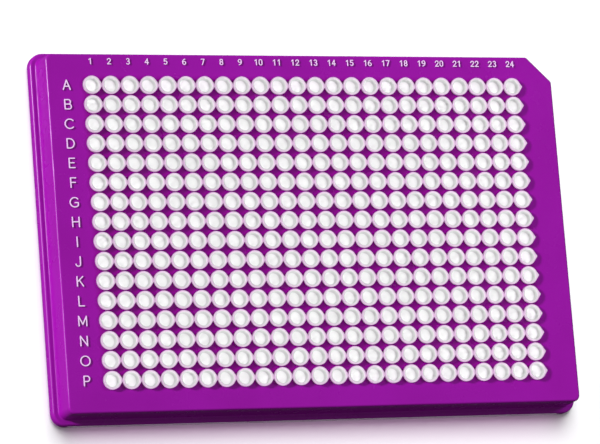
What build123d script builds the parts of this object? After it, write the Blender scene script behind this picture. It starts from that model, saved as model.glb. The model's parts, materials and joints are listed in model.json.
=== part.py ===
from build123d import *
import os
from math import cos, radians, sin, sqrt

# 384-well plate in two materials: a rigid coloured frame with a skirt, and 16 soft white strips of
# 24 linked wells moulded into it. Millimetres. X runs along a row from column 1 to column 24,
# Y from row P to row A, Z up. The origin is on the standing plane, under the middle of the grid.

# ---- well grid ----
columns = 24
rows = 16
pitch = 4.5                    # centre to centre, both ways
side_margin = 12.13            # outer edge of the flange to the centres of column 1
end_margin = 8.99              # outer edge of the flange to the centres of row A

# ---- frame: flange, wall and deck ----
flange_height = 2.2
flange_corner_radius = 3.2
flange_edge_radius = 0.6
ledge_width = 1.4              # flat step between the flange's edge and the foot of the wall
wall_lean = 0.3                # how far the wall leans in from its foot to the deck
wall_corner_radius = 1.8
wall_thickness = 1.3
hollow_corner_radius = 1.2
deck_top = 9.0
deck_thickness = 1.2
deck_edge_radius = 0.5
root_radius = 0.3              # inside corner between ledge and wall
notch_leg = 6.9                # 45 degree corner cut beside A24, measured on the flange
notch_corner_radius = 1.0

# ---- raised characters on the deck ----
character_rise = 0.25
letter_height = 2.15           # between stroke centre lines
letter_stroke = 0.26
letter_edge_gap = 4.5          # deck edge to the middle of a letter
number_height = 1.25
number_stroke = 0.21
number_edge_gap = 1.75         # deck edge to the middle of a number
digit_advance = 1.12

# ---- wells ----
rim_gap = 0.34                 # between the rims of neighbouring rows
rim_height = 0.7               # rim above the deck
rim_width = 0.18               # rim's outer edge to the top of its inside bevel
rim_edge_radius = 0.1
bevel_width = 0.38
bevel_depth = 0.3
collar_overhang = 0.24         # rim beyond the hole in the deck
tube_wall = 0.26
straight_depth = 3.4           # rim to the start of the cone
straight_lean = 0.08           # how much the bore narrows over that depth
cone_half_angle = 10.0
tip_clearance = 0.6            # underside of the tip above the standing plane
tie_drop = 0.15                # top of the tie below the rim
tie_overlap = 0.08             # how far a tie runs into the next rim
tie_tip_radius = 0.28

# ---- worked out ----
grid_length = (columns - 1) * pitch
grid_width = (rows - 1) * pitch
plate_length = grid_length + 2 * side_margin
plate_width = grid_width + 2 * end_margin
deck_inset = ledge_width + wall_lean
deck_underside = deck_top - deck_thickness
deck_half_length = plate_length / 2 - deck_inset
deck_half_width = plate_width / 2 - deck_inset
rim_radius = (pitch - rim_gap) / 2
rim_top = deck_top + rim_height
hole_radius = rim_radius - collar_overhang
bore_radius = rim_radius - rim_width - bevel_width
row_names = "ABCDEFGHIJKLMNOP"

# Characters as strokes on a grid one character height tall, with its middle at the origin.
# Two points are a straight stroke, three are an arc through them.
glyphs = {
    "A": [((-.38, -.5), (0, .5)), ((0, .5), (.38, -.5)), ((-.25, -.16), (.25, -.16))],
    "B": [((-.32, -.5), (-.32, .5)), ((-.32, .5), (.06, .5)), ((.06, .5), (.3, .26), (.06, .02)),
          ((-.32, .02), (.1, .02)), ((.1, .02), (.36, -.24), (.1, -.5)), ((.1, -.5), (-.32, -.5))],
    "C": [((.43, .34), (-.44, 0), (.43, -.34))],
    "D": [((-.36, -.5), (-.36, .5)), ((-.36, .5), (-.1, .5)), ((-.1, .5), (.4, 0), (-.1, -.5)),
          ((-.1, -.5), (-.36, -.5))],
    "E": [((-.28, -.5), (-.28, .5)), ((-.28, .5), (.3, .5)), ((-.28, .02), (.24, .02)),
          ((-.28, -.5), (.3, -.5))],
    "F": [((-.26, -.5), (-.26, .5)), ((-.26, .5), (.3, .5)), ((-.26, .02), (.24, .02))],
    "G": [((.37, .35), (-.48, 0), (.4, -.32)), ((.4, -.32), (.4, -.04)), ((.4, -.04), (.06, -.04))],
    "H": [((-.36, -.5), (-.36, .5)), ((.36, -.5), (.36, .5)), ((-.36, .02), (.36, .02))],
    "I": [((0, -.5), (0, .5))],
    "J": [((.2, .5), (.2, -.24)), ((.2, -.24), (-.06, -.5), (-.3, -.28))],
    "K": [((-.3, -.5), (-.3, .5)), ((.32, .5), (-.3, -.08)), ((-.08, .13), (.36, -.5))],
    "L": [((-.26, -.5), (-.26, .5)), ((-.26, -.5), (.3, -.5))],
    "M": [((-.42, -.5), (-.42, .5)), ((-.42, .5), (0, -.34)), ((0, -.34), (.42, .5)),
          ((.42, .5), (.42, -.5))],
    "N": [((-.36, -.5), (-.36, .5)), ((-.36, .5), (.36, -.5)), ((.36, -.5), (.36, .5))],
    "O": [((-.5, 0), (0, .5), (.5, 0)), ((.5, 0), (0, -.5), (-.5, 0))],
    "P": [((-.28, -.5), (-.28, .5)), ((-.28, .5), (.04, .5)), ((.04, .5), (.32, .22), (.04, -.06)),
          ((.04, -.06), (-.28, -.06))],
    "0": [((-.27, -.23), (-.27, .23)), ((-.27, .23), (0, .5), (.27, .23)), ((.27, .23), (.27, -.23)),
          ((.27, -.23), (0, -.5), (-.27, -.23))],
    "1": [((.08, -.5), (.08, .5)), ((.08, .5), (-.18, .28))],
    "2": [((-.28, .24), (0, .5), (.22, .06)), ((.22, .06), (-.3, -.5)), ((-.3, -.5), (.3, -.5))],
    "3": [((-.22, .39), (.24, .25), (-.02, .02)), ((-.02, .02), (.27, -.24), (-.25, -.38))],
    "4": [((.14, -.5), (.14, .5)), ((.14, .5), (-.3, -.2)), ((-.3, -.2), (.32, -.2))],
    "5": [((.24, .5), (-.2, .5)), ((-.2, .5), (-.23, .06)), ((-.23, .06), (.27, -.19), (-.26, -.37))],
    "6": [((-.28, -.22), (0, .06), (.28, -.22)), ((.28, -.22), (0, -.5), (-.28, -.22)),
          ((-.28, -.22), (-.16, .3), (.18, .48))],
    "7": [((-.28, .5), (.28, .5)), ((.28, .5), (-.1, -.5))],
    "8": [((-.23, .27), (0, .5), (.23, .27)), ((.23, .27), (0, .03), (-.23, .27)),
          ((-.27, -.23), (0, .03), (.27, -.23)), ((.27, -.23), (0, -.5), (-.27, -.23))],
    "9": [((-.28, .22), (0, .5), (.28, .22)), ((.28, .22), (0, -.06), (-.28, .22)),
          ((.28, .22), (.16, -.3), (-.18, -.48))],
}


def outline(inset, corner_radius, height):
    """Plan of the plate, drawn in from the flange's outer edge, with the cut corner beside A24."""
    half_length = plate_length / 2 - inset
    half_width = plate_width / 2 - inset
    cut_leg = notch_leg - inset * (2 - sqrt(2))
    with BuildSketch(Plane.XY.offset(height)) as plan:
        with BuildLine():
            FilletPolyline(
                (half_length, half_width - cut_leg),
                (half_length - cut_leg, half_width),
                (-half_length, half_width),
                (-half_length, -half_width),
                (half_length, -half_width),
                radius=[notch_corner_radius] * 2 + [corner_radius] * 3,
                close=True,
            )
        make_face()
    return plan.sketch


def glyph(character, height, stroke):
    """One character as a flat face, its strokes round-ended slots."""
    with BuildSketch() as face:
        for points in glyphs[character]:
            scaled = [(x * height, y * height) for x, y in points]
            with BuildLine(mode=Mode.PRIVATE) as path:
                if len(points) == 2:
                    Line(*scaled)
                else:
                    ThreePointArc(*scaled)
            SlotArc(path.line.edge(), stroke)
    return face.sketch


def column_x(column):
    return (column - (columns - 1) / 2) * pitch


def row_y(row):
    return ((rows - 1) / 2 - row) * pitch


# ---- characters: row letters down the left, column numbers along the top ----
digit_places = {digit: [] for digit in "0123456789"}
for column in range(columns):
    digits = str(column + 1)
    for place, digit in enumerate(digits):
        digit_x = column_x(column) + (place - (len(digits) - 1) / 2) * digit_advance
        digit_places[digit].append((digit_x, deck_half_width - number_edge_gap))

with BuildSketch(Plane.XY.offset(deck_top)) as characters:
    for row, name in enumerate(row_names):
        with Locations((letter_edge_gap - deck_half_length, row_y(row))):
            add(glyph(name, letter_height, letter_stroke))
    for digit, places in digit_places.items():
        with Locations(*places):
            add(glyph(digit, number_height, number_stroke))

# ---- frame: one moulding, open below ----
hollow_inset = ledge_width + wall_thickness
with BuildPart() as frame:
    with BuildSketch():
        add(outline(0, flange_corner_radius, 0))
    extrude(amount=flange_height)
    ledge_rim = frame.faces().sort_by(Axis.Z)[-1].edges()
    fillet(ledge_rim, flange_edge_radius)

    loft([
        outline(ledge_width, wall_corner_radius, flange_height),
        outline(deck_inset, wall_corner_radius - wall_lean, deck_top),
    ])
    wall_foot = frame.edges(Select.LAST).group_by(Axis.Z)[0]
    fillet(wall_foot, root_radius)
    deck_rim = frame.faces().sort_by(Axis.Z)[-1].edges()
    fillet(deck_rim, deck_edge_radius)

    # The hollow under the deck follows the wall inside
    loft([
        outline(hollow_inset, hollow_corner_radius, 0),
        outline(hollow_inset + wall_lean, hollow_corner_radius, deck_underside),
    ], mode=Mode.SUBTRACT)

    with BuildSketch(Plane.XY.offset(deck_underside)):
        with GridLocations(pitch, pitch, columns, rows):
            Circle(hole_radius)
    extrude(amount=deck_thickness, mode=Mode.SUBTRACT)

    extrude(characters.sketch, amount=character_rise)

# ---- one well: rim on the deck, bore through it, and a cone down to a round tip ----
cone_top = rim_top - straight_depth
cone_top_radius = bore_radius - straight_lean
cone_angle = radians(cone_half_angle)
tip_inside = tip_clearance + tube_wall
# The ball in the tip touches the cone all round
tip_centre = cone_top_radius * cos(cone_angle) - cone_top * sin(cone_angle) + tip_inside
tip_centre /= 1 - sin(cone_angle)
tip_radius = tip_centre - tip_inside


def tip_arc(radius):
    """Round end of the bore or of the tube, from the axis out to where the cone begins."""
    touch = (radius * cos(cone_angle), tip_centre - radius * sin(cone_angle))
    half_way = (radians(90) - cone_angle) / 2
    middle = (radius * sin(half_way), tip_centre - radius * cos(half_way))
    bottom = (0, tip_centre - radius)
    return bottom, middle, touch


with BuildPart() as well:
    with BuildSketch(Plane.XZ) as section:
        with BuildLine():
            outside = ThreePointArc(*tip_arc(tip_radius + tube_wall))
            Polyline(
                outside @ 1,
                (cone_top_radius + tube_wall / cos(cone_angle), cone_top),
                (bore_radius + tube_wall, deck_underside),
                (hole_radius, deck_underside),
                (hole_radius, deck_top),
                (rim_radius, deck_top),
                (rim_radius, rim_top),
                (bore_radius + bevel_width, rim_top),
                (bore_radius, rim_top - bevel_depth),
                (cone_top_radius, cone_top),
                tip_arc(tip_radius)[-1],
            )
            inside = ThreePointArc(*reversed(tip_arc(tip_radius)))
            Line(inside @ 1, outside @ 0)
        make_face()
        rim_corner = section.vertices().sort_by_distance((rim_radius, rim_top))[0]
        fillet(rim_corner, rim_edge_radius)
    revolve(axis=Axis.Z)

    # A web at rim level ties each well to the next one along the row
    tie_reach = pitch - rim_radius + tie_overlap - tie_tip_radius
    with BuildSketch(Plane.XY.offset(deck_top)):
        Circle(rim_radius)
        with Locations((tie_reach, 0)):
            Circle(tie_tip_radius)
        make_hull()
        Circle(rim_radius - rim_width / 2, mode=Mode.SUBTRACT)
    extrude(amount=rim_height - tie_drop)

# ---- a strip is one row of wells, moulded in one shot ----
with BuildPart() as strip:
    with GridLocations(pitch, pitch, columns, 1):
        add(well.part)

os.makedirs("parts", exist_ok=True)
frame.part.label = "frame"
export_step(frame.part, "parts/frame.step")
for row, name in enumerate(row_names):
    with BuildPart() as well_row:
        with Locations((0, row_y(row), 0)):
            add(strip.part)
    well_row.part.label = f"well_row_{name.lower()}"
    export_step(well_row.part, f"parts/{well_row.part.label}.step")
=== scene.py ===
"""A 384-well plate lying on a pale studio table, dressed for the camera.

The purple frame and the sixteen white well rows are shown as they were constructed. This script
gives them smooth shading and their moulded finishes, and sets up the table, lights and camera.
Lengths are in metres and angles in degrees, except where a docstring says otherwise.
"""

from __future__ import annotations

import json
import logging
import math
from dataclasses import dataclass, field
from enum import Enum

import bpy
import bmesh
from mathutils import Matrix, Vector

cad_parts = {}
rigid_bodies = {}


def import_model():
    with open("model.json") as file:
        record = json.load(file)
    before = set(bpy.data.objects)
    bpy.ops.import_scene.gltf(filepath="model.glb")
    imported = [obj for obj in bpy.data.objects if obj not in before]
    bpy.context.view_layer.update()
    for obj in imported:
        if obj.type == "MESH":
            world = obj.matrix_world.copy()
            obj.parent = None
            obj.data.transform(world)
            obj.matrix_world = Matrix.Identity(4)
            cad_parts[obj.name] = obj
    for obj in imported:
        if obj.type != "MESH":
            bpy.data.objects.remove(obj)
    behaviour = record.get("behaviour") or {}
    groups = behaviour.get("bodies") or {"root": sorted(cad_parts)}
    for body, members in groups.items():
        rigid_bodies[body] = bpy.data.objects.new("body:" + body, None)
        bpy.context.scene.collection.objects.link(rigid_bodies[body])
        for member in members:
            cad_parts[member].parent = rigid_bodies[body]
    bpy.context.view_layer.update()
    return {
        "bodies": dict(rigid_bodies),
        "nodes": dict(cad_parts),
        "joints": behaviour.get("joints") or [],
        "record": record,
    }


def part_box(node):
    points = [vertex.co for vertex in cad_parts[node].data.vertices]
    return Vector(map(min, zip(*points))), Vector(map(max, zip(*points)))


log = logging.getLogger("well_plate")

Colour = tuple[float, float, float]
Coordinates = tuple[float, float, float]
Range = tuple[float, float]
Size = tuple[float, float]
Socket = bpy.types.NodeSocket

MM = 0.001
WHITE: Colour = (1.0, 1.0, 1.0)
FRAME_NODE = "frame"
ROW_NODES = tuple(f"well_row_{letter}" for letter in "abcdefghijklmnop")


class Axis(Enum):
    """Component of a place."""

    X = "X"
    Y = "Y"
    Z = "Z"


class Step(Enum):
    """Step of arithmetic: its kind of node, its operation and the output that holds the result."""

    ABSOLUTE = ("Math", "ABSOLUTE", "Value")
    ADD = ("Math", "ADD", "Value")
    MAXIMUM = ("Math", "MAXIMUM", "Value")
    MULTIPLY = ("Math", "MULTIPLY", "Value")
    SHIFT = ("VectorMath", "ADD", "Vector")
    STRETCH = ("VectorMath", "MULTIPLY", "Vector")
    WRAP = ("VectorMath", "WRAP", "Vector")
    LENGTH = ("VectorMath", "LENGTH", "Value")
    DOT_PRODUCT = ("VectorMath", "DOT_PRODUCT", "Value")


@dataclass(frozen=True)
class Grain:
    """Fine grain that a mould leaves on a surface."""

    size: float
    depth: float
    strength: float
    layers: float
    layer_strength: float = 0.6


class NodeGraph:
    """Adds and links the nodes of one shader tree."""

    def __init__(self, tree: bpy.types.NodeTree) -> None:
        """Take over a tree and empty it."""
        self.tree = tree
        self.tree.nodes.clear()

    def add(self, kind: str, **inputs: object) -> bpy.types.Node:
        """Add a node and fill its inputs.

        Args:
            kind: The node's type, without the leading ShaderNode.
            inputs: Socket names with underscores for spaces; a socket is linked, a value is set.

        Returns:
            The new node.
        """
        node = self.tree.nodes.new("ShaderNode" + kind)
        for name, value in inputs.items():
            self.feed(node.inputs[name.replace("_", " ")], value)
        return node

    def feed(self, socket: Socket, value: object) -> None:
        """Link a socket to an input, or set the input's value.

        Args:
            socket: The input to fill.
            value: An output socket, or a plain value.
        """
        if isinstance(value, Socket):
            self.tree.links.new(value, socket)
        else:
            socket.default_value = value

    def work_out(self, step: Step, *values: object) -> Socket:
        """Take one step of arithmetic.

        Args:
            step: What to do with the values.
            values: Output sockets or plain values.

        Returns:
            The result.
        """
        kind, operation, output = step.value
        node = self.add(kind)
        node.operation = operation
        for socket, value in zip(node.inputs, values):
            self.feed(socket, value)
        return node.outputs[output]


class ShaderGraph(NodeGraph):
    """Builds one material from Object coordinates."""

    def __init__(self, name: str) -> None:
        """Start an empty material.

        Args:
            name: The material's name.
        """
        self.material = bpy.data.materials.new(name)
        self.material.use_nodes = True
        super().__init__(self.material.node_tree)
        self.place = self.add("TexCoord").outputs["Object"]

    def coordinate(self, axis: Axis) -> Socket:
        """One component of the place, from the plate's origin."""
        return self.add("SeparateXYZ", Vector=self.place).outputs[axis.value]

    def distance_from_centre(self, pitch: float) -> Socket:
        """Level distance from the middle of the nearest cell of a square grid.

        Args:
            pitch: Side of a cell; a corner of the grid is at the origin.

        Returns:
            The distance.
        """
        half = pitch / 2
        shifted = self.work_out(Step.SHIFT, self.place, (half, half, 0))
        within = self.work_out(Step.WRAP, shifted, (half, half, half), (-half, -half, -half))
        level = self.work_out(Step.STRETCH, within, (1, 1, 0))
        return self.work_out(Step.LENGTH, level)

    def noise(self, size: float, layers: float = 2.0, layer_strength: float = 0.5) -> Socket:
        """Solid noise whose patches are about one size across.

        Args:
            size: Rough size of a patch.
            layers: Number of finer layers.
            layer_strength: Strength of the finer layers.

        Returns:
            The noise, from 0 to 1.
        """
        node = self.add(
            "TexNoise", Vector=self.place, Scale=1 / size, Detail=layers, Roughness=layer_strength
        )
        return node.outputs["Fac"]

    def remap(self, value: Socket, source: Range, target: Range = (0.0, 1.0)) -> Socket:
        """Stretch a value from one range to another, clamped at both ends.

        Args:
            value: The value to stretch.
            source: The values that become the target's ends.
            target: The ends of the result.

        Returns:
            The stretched value.
        """
        node = self.add("MapRange", Value=value)
        for name, end in zip(("From Min", "From Max", "To Min", "To Max"), (*source, *target)):
            self.feed(node.inputs[name], end)
        return node.outputs["Result"]

    def clouds(
        self, size: float, target: Range = (0.0, 1.0), layers: float = 2.0, spread: float = 0.4
    ) -> Socket:
        """Soft patches that vary between two values.

        Args:
            size: Rough size of a patch.
            target: The least and the greatest value.
            layers: Number of finer layers.
            spread: Width of the noise's middle part, which is stretched to the target.

        Returns:
            The value.
        """
        source = (0.5 - spread / 2, 0.5 + spread / 2)
        return self.remap(self.noise(size, layers), source, target)

    def blend(self, share: Socket, first: Socket | Colour, second: Colour) -> Socket:
        """Mix a second colour into a first.

        Args:
            share: Share of the second colour, from 0 to 1.
            first: A colour, or a socket that holds one.
            second: The colour that is mixed in.

        Returns:
            The mixed colour.
        """
        node = self.tree.nodes.new("ShaderNodeMix")
        node.data_type = "RGBA"
        self.feed(node.inputs["Factor"], share)
        first_input, second_input = (socket for socket in node.inputs if socket.type == "RGBA")
        self.feed(first_input, first if isinstance(first, Socket) else (*first, 1))
        self.feed(second_input, (*second, 1))
        return next(socket for socket in node.outputs if socket.type == "RGBA")

    def bent_by(self, grain: Grain) -> Socket:
        """The surface's normal, bent by a grain.

        Args:
            grain: The grain.

        Returns:
            The bent normal.
        """
        height = self.noise(grain.size, grain.layers, grain.layer_strength)
        return self.add("Bump", Height=height, Distance=grain.depth, Strength=grain.strength).outputs[0]

    def finish(self, shader: bpy.types.Node) -> bpy.types.Material:
        """Wire the shader to the output and return the material."""
        self.add("OutputMaterial", Surface=shader.outputs[0])
        return self.material


@dataclass(frozen=True)
class PurpleFrameFinish:
    """Glossy purple moulding, purple through, with white foil on its raised characters."""

    plastic: Colour = (0.31, 0.0048, 0.340)
    plastic_deep: Colour = (0.29, 0.0040, 0.315)
    # Painted shade: the deck is darker among the wells, where the rims' shadows fall.
    shade_among_wells: Colour = (0.245, 0.0020, 0.240)
    foil: Colour = (0.92, 0.62, 0.92)
    foil_depth: float = 0.09 * MM
    foil_edge: float = 0.01 * MM
    cloud_size: float = 14 * MM
    smear_size: float = 6 * MM
    roughness: Range = (0.22, 0.30)
    gloss: float = 0.22
    grain: Grain = Grain(size=0.35 * MM, depth=0.01 * MM, strength=0.25, layers=4.0)
    half_field: Size = (54.0 * MM, 36.0 * MM)
    fade_before: float = 0.9 * MM
    fade_past: float = 0.2 * MM

    def build(self, top: float) -> bpy.types.Material:
        """Make the material.

        Args:
            top: Height of the raised characters' tops.

        Returns:
            The finished material.
        """
        graph = ShaderGraph("purple_frame")
        cloud = graph.clouds(self.cloud_size, layers=3.0, spread=0.3)
        plastic = graph.blend(cloud, self.plastic_deep, self.plastic)
        # Painted shade darkens the deck among the wells, where the rims' shadows fall.
        plastic = graph.blend(self.share_of_shade_among_wells(graph), plastic, self.shade_among_wells)
        foil_starts = top - self.foil_depth
        foil_fade = (foil_starts - self.foil_edge, foil_starts + self.foil_edge)
        foil_share = graph.remap(graph.coordinate(Axis.Z), foil_fade)
        shader = graph.add(
            "BsdfPrincipled",
            Base_Color=graph.blend(foil_share, plastic, self.foil),
            Roughness=graph.clouds(self.smear_size, self.roughness, layers=4.0),
            Normal=graph.bent_by(self.grain),
            Specular_IOR_Level=self.gloss,
        )
        return graph.finish(shader)

    def share_of_shade_among_wells(self, graph: ShaderGraph) -> Socket:
        """How much painted shade a place gets, for lying in the field of wells.

        Args:
            graph: The material's graph.

        Returns:
            A share from 0 to 1, which fades at the field's edge.
        """
        shares = []
        for axis, reach in zip((Axis.X, Axis.Y), self.half_field):
            away = graph.work_out(Step.ABSOLUTE, graph.coordinate(axis))
            fade = (reach - self.fade_before, reach + self.fade_past)
            shares.append(graph.remap(away, fade, (1.0, 0.0)))
        return graph.work_out(Step.MULTIPLY, *shares)


@dataclass(frozen=True)
class WhiteWellFinish:
    """Soft white moulding, thin enough for some light to pass.

    Its outer rims have painted purple bounce light from the frame; a well has painted shade where the deck
    is behind it.
    """

    white: Colour = (0.92, 0.925, 0.92)
    clouded: Colour = (0.85, 0.85, 0.86)
    # Painted purple bounce light from the frame, on the outsides of the rims.
    purple_bounce_on_rims: Colour = (0.86, 0.58, 0.84)
    # Painted shade inside a well, where the deck behind its wall stops the light.
    shade_beside_deck: Colour = (0.69, 0.685, 0.69)
    pitch: float = 4.5 * MM
    rim_radii: Range = (1.60 * MM, 1.88 * MM)
    rim_below_deck: float = 0.3 * MM
    backed_radii: Range = (1.60 * MM, 1.75 * MM)
    backed_rise: float = 0.3 * MM
    backed_above_deck: Range = (0.45 * MM, 0.6 * MM)
    cloud_size: float = 3 * MM
    cloud_share: Range = (0.0, 0.04)
    smear_size: float = 2 * MM
    roughness: Range = (0.36, 0.44)
    gloss: float = 0.4
    grain: Grain = Grain(size=0.25 * MM, depth=0.006 * MM, strength=0.2, layers=3.0)
    translucency: float = 1.0
    light_reach: float = 1.0 * MM

    def build(self, deck_top: float, deck_underside: float) -> bpy.types.Material:
        """Make the material.

        Args:
            deck_top: Height of the deck around the wells.
            deck_underside: Height of the deck's underside.

        Returns:
            The finished material.
        """
        graph = ShaderGraph("white_wells")
        cloud = graph.clouds(self.cloud_size, self.cloud_share, layers=3.0)
        white = graph.blend(cloud, self.white, self.clouded)
        # Painted shade darkens the inside of a well where the deck stands behind its wall.
        white = graph.blend(self.share_of_shade_beside_deck(graph, deck_top, deck_underside), white, self.shade_beside_deck)
        # The base colour carries painted purple bounce light on the outsides of the rims.
        shader = graph.add(
            "BsdfPrincipled",
            Base_Color=graph.blend(self.share_of_purple_bounce(graph, deck_top), white, self.purple_bounce_on_rims),
            Roughness=graph.clouds(self.smear_size, self.roughness),
            Normal=graph.bent_by(self.grain),
            Specular_IOR_Level=self.gloss,
            Subsurface_Weight=self.translucency,
            Subsurface_Radius=WHITE,
            Subsurface_Scale=self.light_reach,
        )
        return graph.finish(shader)

    def share_of_shade_beside_deck(self, graph: ShaderGraph, deck_top: float, deck_underside: float) -> Socket:
        """How much painted shade a place gets, inside a well where the deck behind it stops the light.

        Args:
            graph: The material's graph.
            deck_top: Height of the deck around the wells.
            deck_underside: Height of the deck's underside.

        Returns:
            A share from 0 to 1.
        """
        inside = graph.remap(graph.distance_from_centre(self.pitch), self.backed_radii, (1.0, 0.0))
        height = graph.coordinate(Axis.Z)
        rising = graph.remap(height, (deck_underside, deck_underside + self.backed_rise))
        fade_starts, fade_ends = self.backed_above_deck
        falling = graph.remap(height, (deck_top + fade_starts, deck_top + fade_ends), (1.0, 0.0))
        beside_deck = graph.work_out(Step.MULTIPLY, rising, falling)
        return graph.work_out(Step.MULTIPLY, beside_deck, inside)

    def share_of_purple_bounce(self, graph: ShaderGraph, deck_top: float) -> Socket:
        """How much painted purple bounce light a place gets, on the outsides of the rims.

        Args:
            graph: The material's graph.
            deck_top: Height of the deck around the wells.

        Returns:
            A share from 0 to 1.
        """
        outside = graph.remap(graph.distance_from_centre(self.pitch), self.rim_radii)
        above_deck = graph.remap(graph.coordinate(Axis.Z), (deck_top - self.rim_below_deck, deck_top))
        return graph.work_out(Step.MULTIPLY, outside, above_deck)


@dataclass(frozen=True)
class TableFinish:
    """Plain pale studio table."""

    pale: Colour = (0.86, 0.86, 0.87)
    clouded: Colour = (0.82, 0.82, 0.83)
    cloud_size: float = 0.12
    cloud_share: Range = (0.0, 0.02)
    roughness: float = 0.55

    def build(self) -> bpy.types.Material:
        """Make the material.

        Returns:
            The finished material.
        """
        graph = ShaderGraph("studio_table")
        cloud = graph.clouds(self.cloud_size, self.cloud_share, spread=0.2)
        tone = graph.blend(cloud, self.pale, self.clouded)
        return graph.finish(graph.add("BsdfPrincipled", Base_Color=tone, Roughness=self.roughness))


class SmoothShading:
    """Shades the loose triangles of a constructed node as the smooth surface they stand for."""

    flat_face_weight: int = 100

    def __init__(self, crease: float = 32.0, weld: float = 0.0005 * MM) -> None:
        """Build the modifier's node tree.

        Args:
            crease: Edges that turn by more than this stay sharp.
            weld: Corners nearer than this are joined.
        """
        tree = bpy.data.node_groups.new("smooth_moulding", "GeometryNodeTree")
        for way in ("INPUT", "OUTPUT"):
            tree.interface.new_socket("Geometry", in_out=way, socket_type="NodeSocketGeometry")
        add, link = tree.nodes.new, tree.links.new
        start, end = add("NodeGroupInput"), add("NodeGroupOutput")
        merge = add("GeometryNodeMergeByDistance")
        merge.inputs["Distance"].default_value = weld
        faces = add("GeometryNodeSetShadeSmooth")
        faces.domain = "FACE"
        angle = add("GeometryNodeInputMeshEdgeAngle")
        steep = add("FunctionNodeCompare")
        steep.operation = "GREATER_THAN"
        steep.inputs["B"].default_value = math.radians(crease)
        edges = add("GeometryNodeSetShadeSmooth")
        edges.domain = "EDGE"
        edges.inputs["Shade Smooth"].default_value = False
        link(start.outputs[0], merge.inputs["Geometry"])
        link(merge.outputs["Geometry"], faces.inputs["Geometry"])
        link(angle.outputs["Unsigned Angle"], steep.inputs["A"])
        link(steep.outputs["Result"], edges.inputs["Selection"])
        link(faces.outputs["Geometry"], edges.inputs["Geometry"])
        link(edges.outputs["Geometry"], end.inputs[0])
        self.tree = tree

    def apply_to(self, piece: bpy.types.Object) -> None:
        """Add the modifiers to one piece.

        Args:
            piece: The piece to shade.
        """
        piece.modifiers.new("smooth_moulding", "NODES").node_group = self.tree
        weighted = piece.modifiers.new("flat_faces_stay_flat", "WEIGHTED_NORMAL")
        weighted.keep_sharp = True
        weighted.weight = self.flat_face_weight


def wear(piece: bpy.types.Object, material: bpy.types.Material) -> None:
    """Put one material on a piece.

    Args:
        piece: The piece to dress.
        material: Its finish.
    """
    if piece.material_slots:
        for slot in piece.material_slots:
            slot.link = "OBJECT"
            slot.material = material
    else:
        piece.data.materials.append(material)


@dataclass
class FrameMoulding:
    """The purple frame: flange, wall, deck and raised characters."""

    nodes: dict[str, bpy.types.Object]
    finish: PurpleFrameFinish = PurpleFrameFinish()

    def dress(self, shading: SmoothShading) -> bpy.types.Object:
        """Give the frame its finish.

        Args:
            shading: The smooth shading that all pieces share.

        Returns:
            The frame.
        """
        piece = self.nodes[FRAME_NODE]
        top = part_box(FRAME_NODE)[1].z
        wear(piece, self.finish.build(top))
        shading.apply_to(piece)
        return piece


@dataclass
class WellRows:
    """The sixteen white strips of linked wells, held in the frame's deck."""

    nodes: dict[str, bpy.types.Object]
    deck_top: float = 9.0 * MM
    deck_thickness: float = 1.2 * MM
    finish: WhiteWellFinish = WhiteWellFinish()

    def dress(self, shading: SmoothShading) -> list[bpy.types.Object]:
        """Give every row the white finish.

        Args:
            shading: The smooth shading that all pieces share.

        Returns:
            The rows.
        """
        white = self.finish.build(self.deck_top, self.deck_top - self.deck_thickness)
        pieces = [self.nodes[name] for name in ROW_NODES]
        for piece in pieces:
            wear(piece, white)
            shading.apply_to(piece)
        return pieces


class Lit(Enum):
    """What a lamp shines on."""

    FRAME = "frame"
    ROWS = "rows"
    TABLE = "table"


Pieces = dict[Lit, list[bpy.types.Object]]


def direction(azimuth: float, elevation: float) -> Vector:
    """Unit vector towards a place seen at an azimuth from -Y and an elevation."""
    turn, rise = math.radians(azimuth), math.radians(elevation)
    return Vector((math.sin(turn) * math.cos(rise), -math.cos(turn) * math.cos(rise), math.sin(rise)))


@dataclass(frozen=True)
class Lamp:
    """Flat rectangular lamp that shines along its facing, with a power in watts."""

    name: str
    lit: Lit
    middle: Coordinates
    facing: Coordinates
    size: Size
    power: float
    colour: Colour = WHITE
    seen_by_camera: bool = False
    seen_in_gloss: bool = True

    def hang(self, pieces: Pieces) -> None:
        """Add the lamp to the scene, for the pieces that it is meant for.

        Everything still casts its shadow on them.

        Args:
            pieces: The pieces of each kind.
        """
        data = bpy.data.lights.new(self.name, "AREA")
        data.shape = "RECTANGLE"
        data.size, data.size_y = self.size
        data.energy = self.power
        data.color = self.colour
        lamp = bpy.data.objects.new(self.name, data)
        bpy.context.scene.collection.objects.link(lamp)
        lamp.location = self.middle
        lamp.rotation_euler = (-Vector(self.facing)).to_track_quat("Z", "Y").to_euler()
        lamp.visible_camera = self.seen_by_camera
        lamp.visible_glossy = self.seen_in_gloss
        receivers = bpy.data.collections.new(f"{self.name}_lights")
        for piece in pieces[self.lit]:
            receivers.objects.link(piece)
        lamp.light_linking.receiver_collection = receivers


@dataclass(frozen=True)
class Softbox:
    """Soft light on a stand, aimed at the plate's origin.

    Its glow is how brightly a white card there shines when it faces the light.
    """

    name: str
    lit: Lit
    azimuth: float
    elevation: float
    distance: float
    size: Size
    glow: float
    colour: Colour = WHITE
    seen_in_gloss: bool = True

    def lamp(self) -> Lamp:
        """The softbox's lamp, in its place.

        Returns:
            The lamp.
        """
        towards = direction(self.azimuth, self.elevation)
        return Lamp(
            self.name,
            self.lit,
            middle=tuple(towards * self.distance),
            facing=tuple(-towards),
            size=self.size,
            power=self.glow * (math.pi * self.distance) ** 2,
            colour=self.colour,
            seen_by_camera=True,
            seen_in_gloss=self.seen_in_gloss,
        )


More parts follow.
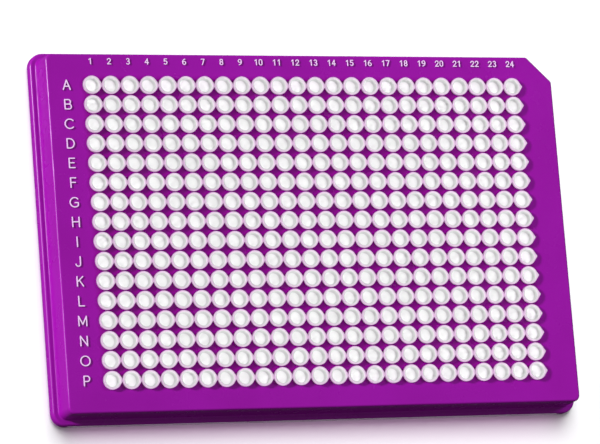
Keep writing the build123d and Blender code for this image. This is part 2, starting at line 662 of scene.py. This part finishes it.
@dataclass(frozen=True)
class GlowPanel:
    """Panel that lights the wells from inside the open back, placed and sized in millimetres."""

    name: str
    middle: Coordinates
    facing: Coordinates
    size: Size
    radiance: float

    def lamp(self) -> Lamp:
        """The panel's lamp, in its place.

        Returns:
            The lamp.
        """
        width, length = (side * MM for side in self.size)
        return Lamp(
            self.name,
            Lit.ROWS,
            middle=tuple(part * MM for part in self.middle),
            facing=self.facing,
            size=(width, length),
            power=self.radiance * math.pi * width * length,
        )


@dataclass(frozen=True)
class Lighting:
    """Every lamp of the studio.

    The panels stand for light that comes through the wells from behind. The bounce is the wall's
    purple light on the table beside it, and the floor glow is the table's light on the frame's foot.
    """

    softboxes: tuple[Softbox, ...] = (
        Softbox(
            "key_softbox", Lit.FRAME, azimuth=-108.0, elevation=21.2, distance=1.8,
            size=(0.18, 0.18), glow=1.32, colour=(0.98, 1.0, 1.04),
        ),
        Softbox(
            "row_key_softbox", Lit.ROWS, azimuth=-108.0, elevation=21.2, distance=1.8,
            size=(0.20, 0.20), glow=0.46,
        ),
        Softbox(
            "right_softbox", Lit.FRAME, azimuth=110, elevation=47, distance=0.42,
            size=(0.10, 0.10), glow=0.37, colour=(0.95, 1.0, 1.08), seen_in_gloss=False,
        ),
        Softbox(
            "row_fill_softbox", Lit.ROWS, azimuth=110, elevation=39, distance=0.42,
            size=(0.18, 0.18), glow=0.46,
        ),
        Softbox(
            "front_softbox", Lit.ROWS, azimuth=-8, elevation=25, distance=0.9,
            size=(0.5, 0.2), glow=0.57,
        ),
        Softbox(
            "table_softbox", Lit.TABLE, azimuth=180, elevation=60, distance=1.2,
            size=(0.7, 0.7), glow=1.3,
        ),
    )
    panels: tuple[GlowPanel, ...] = (
        GlowPanel("glow_up", middle=(0, 0, 0.3), facing=(0, 0, 1), size=(120, 78), radiance=3.55),
        GlowPanel("glow_in_wells", middle=(0, 0, 6.0), facing=(0, 0, 1), size=(108, 72), radiance=0.639),
        GlowPanel("glow_from_left", middle=(-58.4, 0, 4), facing=(1, 0, 0), size=(78, 7), radiance=2.13),
        GlowPanel("glow_from_right", middle=(58.4, 0, 4), facing=(-1, 0, 0), size=(78, 7), radiance=2.13),
        GlowPanel("glow_from_row_a", middle=(0, 38.4, 4), facing=(0, -1, 0), size=(112, 7), radiance=2.13),
        GlowPanel("glow_from_row_p", middle=(0, -38.4, 4), facing=(0, 1, 0), size=(112, 7), radiance=2.13),
    )
    bounce: Lamp = Lamp(
        "bounce_from_wall",
        Lit.TABLE,
        middle=(0, -43.6 * MM, 5.5 * MM),
        facing=tuple(-direction(180, 30)),
        size=(120 * MM, 6 * MM),
        power=0.0011,
        colour=(1.0, 0.25, 0.9),
    )
    floor_glow: Lamp = Lamp(
        "floor_glow",
        Lit.FRAME,
        middle=(0, -43.0 * MM, 0.05 * MM),
        facing=(0, 0, 1),
        size=(120 * MM, 0.4 * MM),
        power=0.00008,
    )

    def hang(self, pieces: Pieces) -> None:
        """Hang every lamp.

        Args:
            pieces: The pieces of each kind.
        """
        lamps = [source.lamp() for source in (*self.softboxes, *self.panels)]
        for lamp in (*lamps, self.bounce, self.floor_glow):
            lamp.hang(pieces)


@dataclass(frozen=True)
class Studio:
    """Table, lights and camera."""

    table_side: float = 6.0
    lighting: Lighting = Lighting()
    room_glow: float = 0.175
    room_slope: Coordinates = (-0.05, 0.055, 0.125)
    room_least: float = 0.03
    aim: Vector = field(default_factory=lambda: Vector((-4.16, 1.81, 9.35)) * MM)
    camera_azimuth: float = -62.80
    camera_elevation: float = 66.41
    camera_roll: float = 60.26
    camera_distance: float = 0.9051
    nearest_seen: float = 0.05
    lens_mm: float = 237.83
    sensor_mm: float = 36.0

    def build(self, frame: bpy.types.Object, rows: list[bpy.types.Object]) -> None:
        """Make the whole studio.

        Args:
            frame: The purple frame.
            rows: The white rows.
        """
        table = self.lay_table()
        self.lighting.hang({Lit.FRAME: [frame], Lit.ROWS: rows, Lit.TABLE: [table]})
        self.light_room()
        self.place_camera()
        view = bpy.context.scene.view_settings
        view.view_transform = "Standard"
        view.look = "None"

    def lay_table(self) -> bpy.types.Object:
        """Lay the table under the plate.

        Returns:
            The table, which the plate's surfaces don't reflect.
        """
        mesh = bpy.data.meshes.new("studio_table")
        shape = bmesh.new()
        bmesh.ops.create_grid(shape, x_segments=2, y_segments=2, size=self.table_side / 2)
        shape.to_mesh(mesh)
        shape.free()
        table = bpy.data.objects.new("studio_table", mesh)
        bpy.context.scene.collection.objects.link(table)
        wear(table, TableFinish().build())
        table.visible_diffuse = False
        table.visible_glossy = False
        return table

    def light_room(self) -> None:
        """Make the room glow, most from above, and more from the plate's back and left."""
        world = bpy.data.worlds.new("room")
        world.use_nodes = True
        graph = NodeGraph(world.node_tree)
        towards = graph.add("TexCoord").outputs["Generated"]
        slope = graph.work_out(Step.DOT_PRODUCT, towards, self.room_slope)
        glow = graph.work_out(Step.ADD, slope, self.room_glow)
        strength = graph.work_out(Step.MAXIMUM, glow, self.room_least)
        sky = graph.add("Background", Color=(*WHITE, 1), Strength=strength)
        graph.add("OutputWorld", Surface=sky.outputs[0])
        bpy.context.scene.world = world

    def place_camera(self) -> None:
        """Put the camera at its viewing angle."""
        data = bpy.data.cameras.new("camera")
        data.lens = self.lens_mm
        data.sensor_width = self.sensor_mm
        data.clip_start = self.nearest_seen
        camera = bpy.data.objects.new("camera", data)
        bpy.context.scene.collection.objects.link(camera)
        towards = direction(self.camera_azimuth, self.camera_elevation)
        level = towards.to_track_quat("Z", "Y").to_matrix()
        turned = level @ Matrix.Rotation(math.radians(self.camera_roll), 3, "Z")
        stand = Matrix.Translation(self.aim + towards * self.camera_distance)
        camera.matrix_world = stand @ turned.to_4x4()
        bpy.context.scene.camera = camera


def main() -> None:
    """Dress the plate, set up the studio and report each piece."""
    logging.basicConfig(level=logging.INFO, format="%(message)s")
    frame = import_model()
    shading = SmoothShading()
    moulding = FrameMoulding(frame["nodes"]).dress(shading)
    rows = WellRows(frame["nodes"]).dress(shading)
    for piece in (moulding, *rows):
        log.info("%s: %d faces", piece.name, len(piece.data.polygons))
    Studio().build(moulding, rows)


if __name__ == "__main__":
    main()
